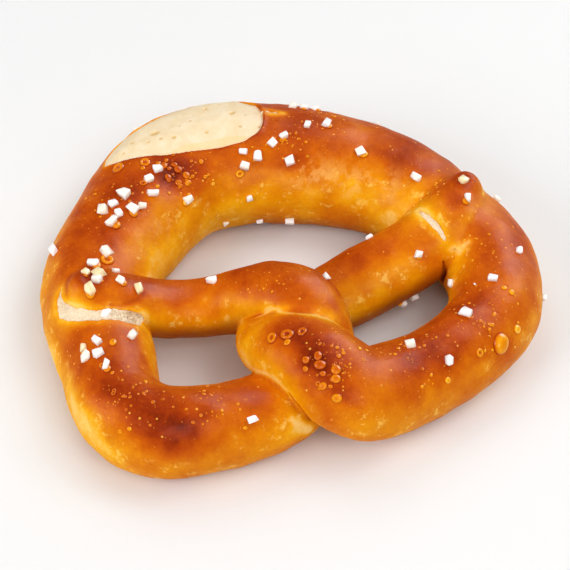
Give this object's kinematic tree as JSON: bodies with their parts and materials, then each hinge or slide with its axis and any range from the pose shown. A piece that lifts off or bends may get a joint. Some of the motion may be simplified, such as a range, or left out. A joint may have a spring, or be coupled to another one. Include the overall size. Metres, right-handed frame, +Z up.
{
  "type": "soft pretzel",
  "caption": "Soft lye pretzel of one twisted dough rope, with a thick scored belly, thin crossed arms baked onto the ring, a glossy brown crust and coarse salt.",
  "frame": {"origin": "middle of the footprint's bounding box, on the surface the pretzel lies on", "axes": "+Z up, square to the pretzel's flat underside; +Y towards the thick belly at the back; +X to the right, along the line through the two arm ends"},
  "size_m": [0.1502, 0.1394, 0.0339],
  "materials": {
    "crust": null,
    "crumb": null,
    "salt": "coarse white salt grains, slightly translucent"
  },
  "bodies": {
    "root": {"pretzel": "crust"}
  },
  "joints": []
}
